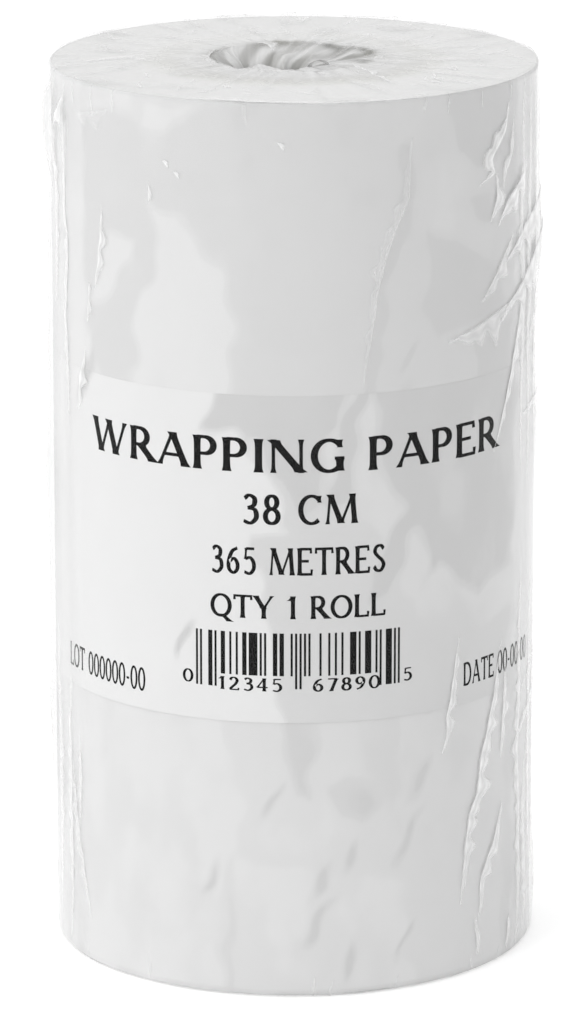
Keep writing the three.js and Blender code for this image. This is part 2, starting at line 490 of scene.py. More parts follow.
def wound_paper(side_material, edge_material):
    """The web as a ring: cut edges that stand a little proud or back in bands, softly worn corners,
    and the loose end of the last turn as a step at the back."""
    rng = np.random.default_rng(SEED)
    columns, wear, most_offset = 400, 0.5 * MM, 0.2 * MM
    angle = np.arange(columns) / columns * math.tau - math.pi
    steps = np.linspace(WEB_BORE_RADIUS, WEB_RADIUS - wear, 50)
    offsets = np.cumsum(rng.normal(0, 0.035 * MM, len(steps)))
    offsets = offsets - np.linspace(offsets[0], offsets[-1], len(steps))
    offsets = offsets.clip(-most_offset, most_offset)
    bend = np.linspace(0, math.pi / 2, 5)[1:-1]
    corner = WEB_RADIUS - wear
    lower = [(r, WEB_FOOT + most_offset + o) for r, o in zip(steps, offsets)]
    lower += [(corner + wear * math.sin(b), WEB_FOOT + wear * (1 - math.cos(b))) for b in bend]
    sides = [(WEB_RADIUS, z) for z in np.linspace(WEB_FOOT + wear, WEB_TOP - wear, 160)]
    upper = [(r, WEB_FOOT + WEB_TOP - z) for r, z in reversed(lower)]
    outline = np.array(lower + sides + upper)
    is_side = (outline[:, :1] > corner) * 1.0
    radius = outline[:, :1] + is_side * (web_surface(angle[None, :], outline[:, 1:]) - WEB_RADIUS)
    points = on_roll(radius, angle[None, :], outline[:, 1:])
    faces = grid_faces(len(outline), columns, closed_rows=True, closed_columns=True)
    piece = mesh_object("paper_web_wound", points.reshape(-1, 3), faces, side_material)
    piece.data.materials.append(edge_material)
    ends = np.abs(np.array([p.normal.z for p in piece.data.polygons])) > 0.9
    piece.data.polygons.foreach_set("material_index", ends.astype(np.int32))
    set_attribute(piece, "cling_and_shade", cling_and_shade(angle[None, :], outline[:, 1:], PAPER_PATCHES) * is_side)
    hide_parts("paper_web")


# Label, print and tapes

def label_lift(height):
    """How far the label stands off the web: its lower edge curls out."""
    from_edge = (height - label_low.z) / CURL_HEIGHT
    return LABEL_CURL * np.exp(-np.maximum(from_edge, 0) * 2.2)


def label_point(across, height, above):
    """A point on the label, from its distance round the roll and its height."""
    angle = LABEL_TURN + across / LABEL_RADIUS
    radius = web_surface(angle, height) + 0.01 * MM + label_lift(height) + above
    return on_roll(radius, angle, height)


def label(material):
    """The label as a thin sheet, with rows close together where its lower edge curls."""
    across = np.linspace(-LABEL_LENGTH / 2, LABEL_LENGTH / 2, 280)[:, None]
    curl_top = label_low.z + CURL_HEIGHT
    height = np.concatenate([np.linspace(label_low.z, curl_top, 6)[:-1],
                             np.linspace(curl_top, label_high.z, 64)])[None, :]
    piece = shell("label_paper_sheet", label_point(across, height, 0.0),
                  label_point(across, height, LABEL_THICKNESS), material)
    amount = cling_and_shade(LABEL_TURN + across / LABEL_RADIUS, height, LABEL_PATCHES)
    set_attribute(piece, "cling_and_shade", np.concatenate([amount, amount]))
    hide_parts("label_sheet")


THICK, THIN = 0.205, 0.10                       # strokes, as shares of the height of a capital


def stroke(points, widths, cut_level=False):
    """The outline of a stroke along points, with a width at each. Its ends are cut square or level."""
    points, widths = np.array(points, float), np.array(widths, float)[:, None]
    along = np.gradient(points, axis=0)
    along /= np.linalg.norm(along, axis=1)[:, None]
    side = np.stack([-along[:, 1], along[:, 0]], 1)
    if cut_level:
        side = np.stack([-1 / along[:, 1], np.zeros(len(along))], 1)
    side = side * widths / 2
    return np.concatenate([points - side, (points + side)[::-1]])


def line(x0, y0, x1, y1, width):
    """A straight stroke that flares at both ends, as a broad pen cuts it."""
    t = np.linspace(0, 1, 9)
    points = np.outer(1 - t, (x0, y0)) + np.outer(t, (x1, y1))
    reach = math.hypot(x1 - x0, y1 - y0)
    near_end = np.exp(-np.minimum(t, 1 - t) * reach / 0.07)
    return stroke(points, width + 0.085 * near_end, cut_level=True)


def curve(points, middle, ends=THIN):
    """A smooth stroke through points, thick where it runs upright and thin where it runs level."""
    points = np.array(points, float)
    t = np.linspace(0, len(points) - 1, 8 * (len(points) - 1) + 1)
    k = np.clip(t.astype(int), 0, len(points) - 2)
    f = (t - k)[:, None]
    padded = np.concatenate([2 * points[:1] - points[1:2], points, 2 * points[-1:] - points[-2:-1]])
    a, b, c, d = (padded[k + i] for i in range(4))
    smooth = 0.5 * (2 * b + (c - a) * f + (2 * a - 5 * b + 4 * c - d) * f ** 2
                    + (3 * b - a - 3 * c + d) * f ** 3)
    along = np.gradient(smooth, axis=0)
    upright = np.abs(along[:, 1]) / np.linalg.norm(along, axis=1)
    return stroke(smooth, ends + (middle - ends) * upright ** 1.5)


def bowl(cx, cy, rx, ry, start, end, middle=THICK):
    """Part of an upright oval, between two angles in degrees."""
    turn = np.radians(np.linspace(start, end, max(8, int(abs(end - start) / 12))))
    points = np.stack([cx + rx * np.cos(turn), cy + ry * np.sin(turn)], 1)
    upright = np.abs(np.cos(turn))
    return stroke(points, THIN + (middle - THIN) * upright ** 1.2)


def ring(cx, cy, rx, ry):
    return [bowl(cx, cy, rx, ry, -5, 185), bowl(cx, cy, rx, ry, 175, 365)]


def stem(x, low=0.0, high=1.0, width=THICK):
    return line(x, low, x, high, width)


def arm(x0, x1, y, tick=0.0):
    """A level thin stroke, with a short upright tick at its far end."""
    strokes = [stroke([(x0, y), ((x0 + x1) / 2, y), (x1, y)], [THIN] * 3)]
    if tick:
        outer_edge = y - math.copysign(THIN / 2, tick)
        strokes.append(stroke([(x1, outer_edge), (x1 + 0.01, y + tick)], [THIN * 0.9, THIN * 1.3]))
    return strokes


def oval(wide):
    """The width and strokes of an upright oval as tall as a capital."""
    return 2 * wide + 0.14, ring(wide + 0.07, 0.5, wide, 0.465)


LEFT = 0.14                                     # middle of a capital's left stem
HEAD, FOOT = 0.965, 0.035                       # middles of its highest and lowest level strokes
C_SHAPE = [bowl(0.52, 0.5, 0.42, 0.465, 48, 312), line(0.83, 0.97, 0.83, 0.74, THIN)]
P_SHAPE = [stem(LEFT), *arm(LEFT, 0.36, HEAD), *arm(LEFT, 0.36, 0.47),
           bowl(0.36, 0.7175, 0.27, 0.2475, -90, 90)]
S_LINE = [(0.62, 0.84), (0.46, 0.96), (0.24, 0.92), (0.15, 0.74), (0.32, 0.56), (0.52, 0.42),
          (0.62, 0.24), (0.46, 0.045), (0.24, 0.06), (0.1, 0.2)]
TWO_LINE = [(0.12, 0.76), (0.24, 0.94), (0.46, 0.94), (0.58, 0.74), (0.48, 0.48), (0.28, 0.26), (0.1, 0.05)]
THREE_TOP = [(0.14, 0.86), (0.32, 0.97), (0.53, 0.86), (0.5, 0.64), (0.26, 0.54)]
THREE_FOOT = [(0.26, 0.54), (0.54, 0.48), (0.6, 0.22), (0.38, 0.03), (0.1, 0.1)]
FIVE_LINE = [(0.16, 0.57), (0.4, 0.62), (0.58, 0.44), (0.58, 0.2), (0.38, 0.03), (0.1, 0.09)]
SIX_LINE = [(0.60, 0.95), (0.33, 0.82), (0.15, 0.48), (0.16, 0.18), (0.38, 0.035), (0.58, 0.16),
            (0.60, 0.38), (0.42, 0.56), (0.18, 0.44)]
NINE_LINE = [(0.72 - x, 1 - y) for x, y in SIX_LINE]

# The width and strokes of each character, as shares of the height of a capital
GLYPHS = {
    "A": (1.0, [line(0.48, 1, 0.05, 0, THIN), line(0.46, 1, 0.9, 0, THICK), *arm(0.18, 0.74, 0.33)]),
    "C": (0.93, C_SHAPE),
    "D": (1.0, [stem(LEFT), *arm(LEFT, 0.42, HEAD), *arm(LEFT, 0.42, FOOT),
                bowl(0.42, 0.5, 0.44, 0.465, -90, 90)]),
    "E": (0.8, [stem(LEFT), *arm(LEFT, 0.7, HEAD, -0.16), *arm(LEFT, 0.6, 0.52),
                *arm(LEFT, 0.74, FOOT, 0.18)]),
    "G": (1.0, [*C_SHAPE, stem(0.83, 0.04, 0.42), *arm(0.68, 0.96, 0.42)]),
    "I": (0.36, [stem(0.18)]),
    "L": (0.74, [stem(LEFT), *arm(LEFT, 0.7, FOOT, 0.2)]),
    "M": (1.3, [line(0.1, 0, 0.2, 1, THIN), line(0.2, 1, 0.64, 0.02, THICK),
                line(0.64, 0.02, 1.1, 1, THIN), line(1.08, 1, 1.18, 0, THICK)]),
    "N": (1.05, [line(0.12, 0, 0.12, 1, THIN), line(0.12, 0.98, 0.9, 0.02, THICK),
                 line(0.9, 1, 0.9, 0, THIN)]),
    "O": oval(0.45),
    "P": (0.76, P_SHAPE),
    "Q": (1.04, [*ring(0.52, 0.5, 0.45, 0.465), line(0.55, 0.12, 0.98, -0.2, THIN * 1.6)]),
    "R": (0.9, [*P_SHAPE, line(0.38, 0.48, 0.86, 0, THICK)]),
    "S": (0.74, [curve(S_LINE, THICK)]),
    "T": (0.92, [stem(0.46), *arm(0.46, 0.88, HEAD, -0.17), *arm(0.46, 0.04, HEAD, -0.17)]),
    "W": (1.45, [line(0.06, 1, 0.36, 0, THICK), line(0.36, 0, 0.72, 1, THIN),
                 line(0.68, 1, 1.0, 0, THICK), line(1.0, 0, 1.36, 1, THIN)]),
    "Y": (0.95, [line(0.06, 1, 0.46, 0.45, THICK), line(0.88, 1, 0.48, 0.45, THIN),
                 stem(0.47, 0, 0.48)]),
    "0": oval(0.3),
    "1": (0.5, [stem(0.3), line(0.3, 0.97, 0.12, 0.8, THIN)]),
    "2": (0.74, [curve(TWO_LINE, THICK), *arm(0.08, 0.66, FOOT, 0.14)]),
    "3": (0.72, [curve(THREE_TOP, THICK), curve(THREE_FOOT, THICK)]),
    "4": (0.76, [line(0.5, 1, 0.06, 0.3, THIN), *arm(0.04, 0.72, 0.3), stem(0.5)]),
    "5": (0.72, [*arm(0.2, 0.62, 0.95), line(0.2, 0.97, 0.16, 0.56, THIN), curve(FIVE_LINE, THICK)]),
    "6": (0.74, [curve(SIX_LINE, THICK)]),
    "7": (0.72, [*arm(0.08, 0.66, 0.95), line(0.62, 0.95, 0.28, 0, THICK)]),
    "8": (0.74, [*ring(0.37, 0.75, 0.2, 0.215), *ring(0.37, 0.275, 0.25, 0.24)]),
    "9": (0.74, [curve(NINE_LINE, THICK)]),
    "-": (0.42, [stroke([(0.06, 0.42), (0.2, 0.42), (0.36, 0.42)], [0.1] * 3)]),
    " ": (0.42, []),
}

# The bars of each digit in a shop code's left half, 1 for a bar and 0 for a gap
BARS = ("0001101", "0011001", "0010011", "0111101", "0100011",
        "0110001", "0101111", "0111011", "0110111", "0001011")


def printed_text(text, middle, base, height, squeeze=1.0, gap=0.12):
    """The outlines of a line of text, in metres on the flat label."""
    shapes = [GLYPHS[c] for c in text]
    total = sum(w for w, _ in shapes) + gap * (len(text) - 1)
    x = -total / 2
    outlines = []
    for width, strokes in shapes:
        outlines.append([(s + (x, 0)) * (height * squeeze, height) + (middle, base) for s in strokes])
        x += width + gap
    return [g for g in outlines if g]


def shop_code(digits, middle, top, low, guard_low, module):
    """The bars of a twelve-digit code, and its digits under them."""
    halves = ["".join(BARS[int(d)] for d in digits[:6]),
              "".join(BARS[int(d)] for d in digits[6:]).translate(str.maketrans("01", "10"))]
    bits = "101" + halves[0] + "01010" + halves[1] + "101"
    long_bars = set(range(10)) | set(range(45, 50)) | set(range(85, 95))
    outlines = []
    start = 0
    for i in range(1, len(bits) + 1):
        if i == len(bits) or bits[i] != bits[start]:
            if bits[start] == "1":
                x0, x1 = (middle + (k - len(bits) / 2) * module for k in (start, i))
                foot = guard_low if start in long_bars else low
                outlines.append([np.array([(x0, foot), (x1, foot), (x1, top), (x0, top)])])
            start = i
    size = 5.6 * MM
    for text, at in ((digits[1:6], -22), (digits[6:11], 22)):
        outlines += printed_text(text, middle + at * module, low - 1.2 * size, size, 1.15, gap=0.2)
    for text, at in ((digits[0], -51.5), (digits[11], 51.5)):
        outlines += printed_text(text, middle + at * module, low - 0.9 * size, size, 1.1)
    return outlines


def print_layout():
    """The outlines of every glyph and bar on the label."""
    z = label_low.z
    outlines = printed_text("WRAPPING PAPER", -0.5 * MM, z + 107.2 * MM, 14.2 * MM, 1.03)
    outlines += printed_text("38 CM", 0.5 * MM, z + 85.2 * MM, 12.6 * MM, 0.84)
    outlines += printed_text("365 METRES", 0, z + 63.6 * MM, 11.6 * MM, 0.7)
    outlines += printed_text("QTY 1 ROLL", 0, z + 44.8 * MM, 9.8 * MM, 0.86)
    outlines += shop_code("012345678905", 0, z + 38.6 * MM, z + 20.2 * MM, z + 14.6 * MM, 0.92 * MM)
    outlines += printed_text("LOT 000000-00", -96 * MM, z + 7.6 * MM, 10 * MM, 0.5)
    outlines += printed_text("DATE 00-00-00", 104 * MM, z + 7.6 * MM, 10 * MM, 0.5)
    return outlines


def ink_layer(outlines):
    """One glyph as a thin closed layer: its strokes joined, and cut across every 2 mm so that it can
    follow the roll."""
    points, faces = [], []
    for outline in outlines:
        faces.append(list(range(len(points), len(points) + len(outline))))
        points += [tuple(p) for p in outline]
    xs, ys = [p[0] for p in points], [p[1] for p in points]
    edges = []
    for x in np.arange(min(xs) + 1 * MM, max(xs), 2 * MM):
        edges.append((len(points), len(points) + 1))
        points += [(x, min(ys) - MM), (x, max(ys) + MM)]
    scaled = [Vector((x / MM, y / MM)) for x, y in points]
    flat, _, triangles, _, _, source = delaunay_2d_cdt(scaled, edges, faces, 0, 1e-5)
    kept = [list(t) for t, s in zip(triangles, source) if s]
    used = {v: i for i, v in enumerate(sorted({v for t in kept for v in t}))}
    kept = [[used[v] for v in t] for t in kept]
    x = np.array([flat[v][0] for v in used]) * MM
    y = np.array([flat[v][1] for v in used]) * MM
    top = label_point(x, y, LABEL_THICKNESS + INK_THICKNESS)
    foot = label_point(x, y, LABEL_THICKNESS * 0.9)
    count = len(used)
    sides = dict.fromkeys((a, b) for t in kept for a, b in zip(t, t[1:] + t[:1]))
    rim = [[b, a, a + count, b + count] for a, b in sides if (b, a) not in sides]
    under = [[v + count for v in reversed(t)] for t in kept]
    return np.concatenate([top, foot]), kept + under + rim


def label_print(material):
    """All the print as one piece."""
    vertices, faces = [], []
    for outlines in print_layout():
        append_mesh(vertices, faces, *ink_layer(outlines))
    piece = mesh_object("label_ink", vertices, faces, material, smooth=False)


def tail_tapes(material):
    """Two tabs over the step at the back, with torn ends. The start tape inside the roll only gets
    the same material."""
    columns, rows, tear = 40, 16, 0.006
    rng = np.random.default_rng(SEED + 1)
    for place_name in ("upper", "lower"):
        node = f"tail_tape_{place_name}"
        low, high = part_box(node)
        half = math.asin(high.x / WEB_RADIUS)
        angle = np.linspace(math.pi - half, math.pi + half, columns)[:, None]
        height = np.linspace(low.z, high.z, rows)[None, :]
        torn = np.zeros((columns, rows))
        torn[0] = rng.uniform(-tear, tear, rows)
        torn[-1] = rng.uniform(-tear, tear, rows)
        ripple = waves(rng, 6, (30, 90), angle, (0.01, 0.04), height) * 0.03 * MM
        radius = over_step(angle, height) + 0.05 * MM + ripple
        piece = shell(f"{node}_tab", on_roll(radius, angle + torn, height),
                      on_roll(radius + TAPE_THICKNESS, angle + torn, height), material)
        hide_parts(node)
    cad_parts["core_start_tape"].data.materials.clear()
    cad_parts["core_start_tape"].data.materials.append(material)


# The film

def film_profile():
    """The film's section: distance from the axis and height of closely spaced points, from the edge
    of the hole in the foot, over the foot, the side and the top, to the hole in the top. It comes
    with the direction that faces outwards."""
    side = WEB_RADIUS + FILM_STANDOFF
    reach = MOUTH_RADIUS - HOLE_RADIUS

    def arc(cx, cz, rx, rz, start, end):
        turn = np.radians(np.linspace(start, end, 25))
        return np.stack([cx + rx * np.cos(turn), cz + rz * np.sin(turn)], 1)

    points = np.concatenate([
        np.array([[HOLE_RADIUS - 2 * MM, FILM_FOOT + SAG + PLUNGE]]),
        arc(MOUTH_RADIUS, FILM_FOOT + SAG, reach, SAG, 182, 270),
        arc(side - RIM_BEND, FILM_FOOT + RIM_BEND, RIM_BEND, RIM_BEND, 270, 360),
        arc(side - RIM_BEND, FILM_TOP - RIM_BEND, RIM_BEND, RIM_BEND, 0, 90),
        arc(MOUTH_RADIUS, FILM_TOP - SAG, reach, SAG, 90, 178),
        np.array([[HOLE_RADIUS - 2 * MM, FILM_TOP - SAG - PLUNGE]]),
    ])
    along = np.concatenate([[0], np.cumsum(np.linalg.norm(np.diff(points, axis=0), axis=1))])
    fine = np.linspace(0, along[-1], 4000)
    r, z = (np.interp(fine, along, points[:, i]) for i in (0, 1))
    dr, dz = np.gradient(r, fine), np.gradient(z, fine)
    long = np.hypot(dr, dz)
    return fine, r, z, dz / long, -dr / long


PROFILE = film_profile()
END = PROFILE[0][-1]


def at_height(height):
    """The distance along the section of a height on the roll's side."""
    side = PROFILE[1] > WEB_RADIUS
    return float(np.interp(height, PROFILE[2][side], PROFILE[0][side]))


def at_top(radius):
    """The distance along the section of a distance from the axis, on the top face or in its mouth."""
    top = PROFILE[0] > at_height(FILM_TOP - RIM_BEND)
    return float(np.interp(-radius, -PROFILE[1][top], PROFILE[0][top]))


# Mounds where the film stands off the paper: angle, height, half-widths in degrees and mm, lift in mm
BULGES = (
    (-82, 366, 16, 9, 2.0), (-64, 352, 9, 14, 0.8), (86, 308, 9, 20, 2.3), (74, 286, 7, 12, 0.9),
    (83, 352, 10, 22, 0.9), (64, 345, 6, 14, 0.9), (88, 22, 12, 22, 1.5), (70, 30, 8, 16, 0.6),
    (-95, 60, 14, 30, 0.7), (140, 330, 12, 18, 1.6), (168, 120, 9, 40, 0.9), (-150, 250, 12, 30, 1.0),
    (-90, 352, 13, 16, 3.2), (-90, 305, 13, 22, 1.5), (-90, 262, 13, 24, 2.0), (-90, 205, 13, 34, 3.2),
    (-90, 150, 13, 30, 2.2), (-90, 100, 13, 24, 2.4), (-88, 70, 12, 12, 1.0), (90, 225, 10, 22, 1.4),
    (-128, 340, 10, 16, 1.4), (118, 190, 8, 50, 0.8), (-170, 30, 14, 18, 1.3), (122, 24, 10, 16, 1.2),
)


def section(along):
    """The film's section at distances along it: radius, height, how far it lies level, and how far it
    has come from the edge of the core to the hole, from 0 to 1."""
    r, z, _, up = (np.interp(along, PROFILE[0], PROFILE[i]) for i in (1, 2, 3, 4))
    level = np.where(r < WEB_RADIUS - 4 * MM, 1.0, np.abs(up) ** 2)
    sunk = np.clip((MOUTH_RADIUS - r) / (MOUTH_RADIUS - HOLE_RADIUS), 0, 1)
    return r, z, level, sunk


def bulging(angle, height):
    """How high the mounds stand, in mm."""
    return sum(high * bump_at(angle, height, (a, h), half_a, half_h)
               for a, h, half_a, half_h, high in BULGES)


def film_lift(angle, along):
    """How far the film stands off its tight shape."""
    rng = np.random.default_rng(SEED + 2)
    r, z, level, sunk = section(along)
    side = 1 - level
    lift = side * MM * (0.08 * waves(rng, 8, (3, 12), angle, (0.08, 0.3), z) + bulging(angle, z))
    near_rim = np.exp(-np.minimum(z - FILM_FOOT, FILM_TOP - z) / (16 * MM)) * (sunk == 0)
    lift = lift + near_rim * 0.16 * MM * waves(rng, 9, (18, 70), angle, (0.05, 0.3), z)
    lift = lift + side * 0.3 * MM * np.exp(-((z - label_low.z) / (3 * MM)) ** 2)
    bunched = (0.6 + np.clip(waves(rng, 8, (9, 26), angle, (0.1, 0.3), r), 0, 2)) * (1 - np.cos(angle)) / 2
    by_rim = np.exp(-((FILM_TOP - z) / (5 * MM)) ** 2) * np.clip((r - 84 * MM) / (14 * MM), 0, 1) ** 2
    lift = lift + 1.1 * MM * bunched * by_rim
    closeness = np.clip((WEB_RADIUS - r) / (WEB_RADIUS - MOUTH_RADIUS), 0, 1)
    pleats = (waves(rng, 7, (18, 36), angle, (0.08, 0.4), r)
              + 0.3 * waves(rng, 6, (60, 90), angle, (0.05, 0.2), r))
    lift = lift + level * closeness ** 2 * 0.35 * MM * (pleats + 0.6)
    lift = lift + level * 0.22 * MM * (1 + waves(rng, 8, (5, 16), angle, (0.03, 0.09), r))
    loose = waves(rng, 6, (3, 9), angle, (0.3, 0.9), r)
    lift = np.maximum(lift, -0.12 * MM)
    creases = 0.5 - np.abs(waves(rng, 4, (3, 7), angle, (0.02, 0.05), r))
    lift = lift + sunk ** 0.8 * MM * (1.6 * loose + 2.6 * creases)
    return lift


def film_point(angle, along, above=0.0):
    """A point on the film, from its angle and its distance along the section. In the mouth it is
    stretched sideways and drawn to the left and the front."""
    r, z, out, up = (np.interp(along, PROFILE[0], PROFILE[i]) for i in (1, 2, 3, 4))
    lift = film_lift(angle, along) + above
    points = on_roll(r + out * lift, angle, z + up * lift)
    sunk = section(along)[3]
    points[..., 0] = points[..., 0] * (1 + 0.35 * sunk) - 8 * MM * sunk
    points[..., 1] = points[..., 1] * (1 - 0.35 * sunk) - 10 * MM * sunk
    points[..., 2] = np.maximum(points[..., 2], FLOOR_Z + 0.05 * MM)
    return points


BACK_FROM = 112                                 # the angle on either side where the back starts
# Clear stretches in the mouth: angle, distance from the axis, half-widths in degrees and mm
CLEAR_IN_MOUTH = (
    (-170, 35, 20, 4), (115, 34, 16, 3), (-108, 34, 14, 3), (150, 33, 9, 3), (-60, 31, 12, 3),
)


def film_haze(angle, along):
    """How milky the film is, from 0 to 1."""
    rng = np.random.default_rng(SEED + 3)
    r, z, level, _ = section(along)
    degrees = np.degrees(angle)
    streaks = 1 + 0.5 * waves(rng, 12, (10, 50), angle, (0.3, 1.2), along)
    right = soft_step((degrees - 66) / 2) * (degrees < BACK_FROM)
    left = soft_step(-(degrees + 61) / 2) * (degrees > -BACK_FROM)
    behind = np.abs(degrees) >= BACK_FROM
    haze = (1 - level) * (0.004 + 0.18 * right + 0.17 * left + 0.05 * behind) * streaks
    haze = haze + (1 - level) * 0.14 * bulging(angle, z)
    rays = np.clip(waves(rng, 9, (20, 50), angle, (0.05, 0.2), r), 0, 1)
    clouds = np.clip(waves(rng, 9, (4, 14), angle, (0.02, 0.08), r), 0, 1)
    haze = haze + level * (0.1 + 0.3 * rays ** 2 + 0.4 * clouds ** 2)
    petals = soft_step(6 * waves(rng, 6, (4, 12), angle, (0.03, 0.06), r))
    fine = waves(rng, 6, (14, 44), angle, (0.02, 0.08), z)
    over_core = np.clip((r - 33 * MM) / (3 * MM), 0, 1)
    mouth = (0.48 + 0.34 * petals + 0.1 * fine) * (1 - over_core) + (0.84 + 0.06 * fine) * over_core
    for a, radius, half_a, half_r in CLEAR_IN_MOUTH:
        mouth = mouth * (1 - 0.85 * bump_at(angle, r, (a, radius), half_a, half_r))
    blend = level * np.clip((64 * MM - r) / (18 * MM), 0, 1)
    return np.clip(haze * (1 - blend) + mouth * blend, 0, 1)


def film_body(material):
    """The film as one sheet, with ragged edges round its two holes."""
    rng = np.random.default_rng(SEED + 4)
    columns, bend = 440, 5 * MM
    angle = (np.arange(columns) / columns * math.tau - math.pi)[None, :]
    face = WEB_RADIUS + FILM_STANDOFF - RIM_BEND - MOUTH_RADIUS
    sheet = at_top(MOUTH_RADIUS)
    sunk = END - sheet
    edge = sunk * np.clip(0.93 + 0.05 * waves(rng, 9, (3, 14), angle, (1, 2), 0.0), 0.8, 1)
    lower_edge = sunk - edge * np.linspace(1, 0, 17)[:-1, None]
    upper_edge = sheet + edge * np.linspace(0, 1, 17)[1:, None]
    marks = np.concatenate([
        np.linspace(sunk, sunk + face, 26)[:-1],
        np.linspace(sunk + face, sunk + face + bend, 8)[:-1],
        np.linspace(sunk + face + bend, sheet - face - bend, 96)[:-1],
        np.linspace(sheet - face - bend, sheet - face, 10)[:-1],
        np.linspace(sheet - face, sheet, 46),
    ])[:, None]
    along = np.concatenate([lower_edge, marks + np.zeros((1, columns)), upper_edge])
    points = film_point(angle + 0 * along, along)
    faces = grid_faces(len(along), columns, closed_columns=True)
    piece = mesh_object("shrink_film_skin", points.reshape(-1, 3), faces, material)
    set_attribute(piece, "haze", film_haze(angle + 0 * along, along))
    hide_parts("shrink_film")


def fold(rng, path, milk, crisp, stiff):
    """A fold of slack film lying on the film, standing up along one crisp edge and fading out to the
    other. The path lists an angle in degrees, a distance along the section, and a width in mm.
    Returns the fold's points, faces and haze."""
    path = np.array(path, float)
    radius = section(path[:, 1])[0].mean()
    flat = np.stack([np.radians(path[:, 0]) * radius, path[:, 1]], 1)
    steps = np.concatenate([[0], np.cumsum(np.linalg.norm(np.diff(flat, axis=0), axis=1))])
    count = max(8, int(steps[-1] / (1.1 * MM)))
    t = np.linspace(0, 1, count)
    x, y, width = (np.interp(t * steps[-1], steps, v) for v in (flat[:, 0], flat[:, 1], path[:, 2] * MM))
    for _ in range(3):
        x[1:-1], y[1:-1] = ((v[:-2] + 2 * v[1:-1] + v[2:]) / 4 for v in (x, y))
    sway = sum(np.sin(t * steps[-1] / MM * rng.uniform(0.1, 0.6) + rng.uniform(0, 6)) for _ in range(3))
    x = x + sway * 0.2 * MM * np.sin(np.pi * t)
    ahead = np.gradient(np.stack([x, y], 1), axis=0)
    ahead /= np.linalg.norm(ahead, axis=1)[:, None] + 1e-12
    side = np.stack([-ahead[:, 1], ahead[:, 0]], 1) * crisp
    taper = np.sin(np.pi * np.clip(t, 0.03, 0.97)) ** 0.6
    taper = taper * (0.8 + 0.2 * np.sin(t * steps[-1] / MM * 0.7 + rng.uniform(0, 6)))
    width = width * taper * (1 + 0.25 * np.sin(t * steps[-1] / MM * 0.45 + rng.uniform(0, 6)))
    across = np.array([-0.1, 0, 0.08, 0.25, 0.42, 0.6, 0.8, 1])
    shape = np.array([-0.1, 0.8, 1, 0.6, 0.5, 0.72, 0.3, -0.1])
    milky = np.array([0, 0.85, 1, 0.75, 0.65, 0.8, 0.4, 0])
    x = x[:, None] + side[:, :1] * across * width[:, None]
    y = y[:, None] + side[:, 1:] * across * width[:, None]
    height = (np.minimum(0.12 * width, 0.8 * MM) + 0.1 * MM * taper) * stiff
    points = film_point(x / radius, y, height[:, None] * shape)
    haze = milk * np.sqrt(taper)[:, None] * milky
    return points.reshape(-1, 3), grid_faces(count, len(across)), np.clip(haze, 0, 1).ravel()


def side_path(points, width=None):
    """Points given as an angle, a height in mm and a width, as a path for a fold."""
    return [(p[0], at_height(p[1] * MM), width or p[2]) for p in points]


def top_path(points, width=None):
    """Points given as an angle, a distance from the axis in mm and a width, as a path on the top."""
    return [(p[0], at_top(p[1] * MM), width or p[2]) for p in points]


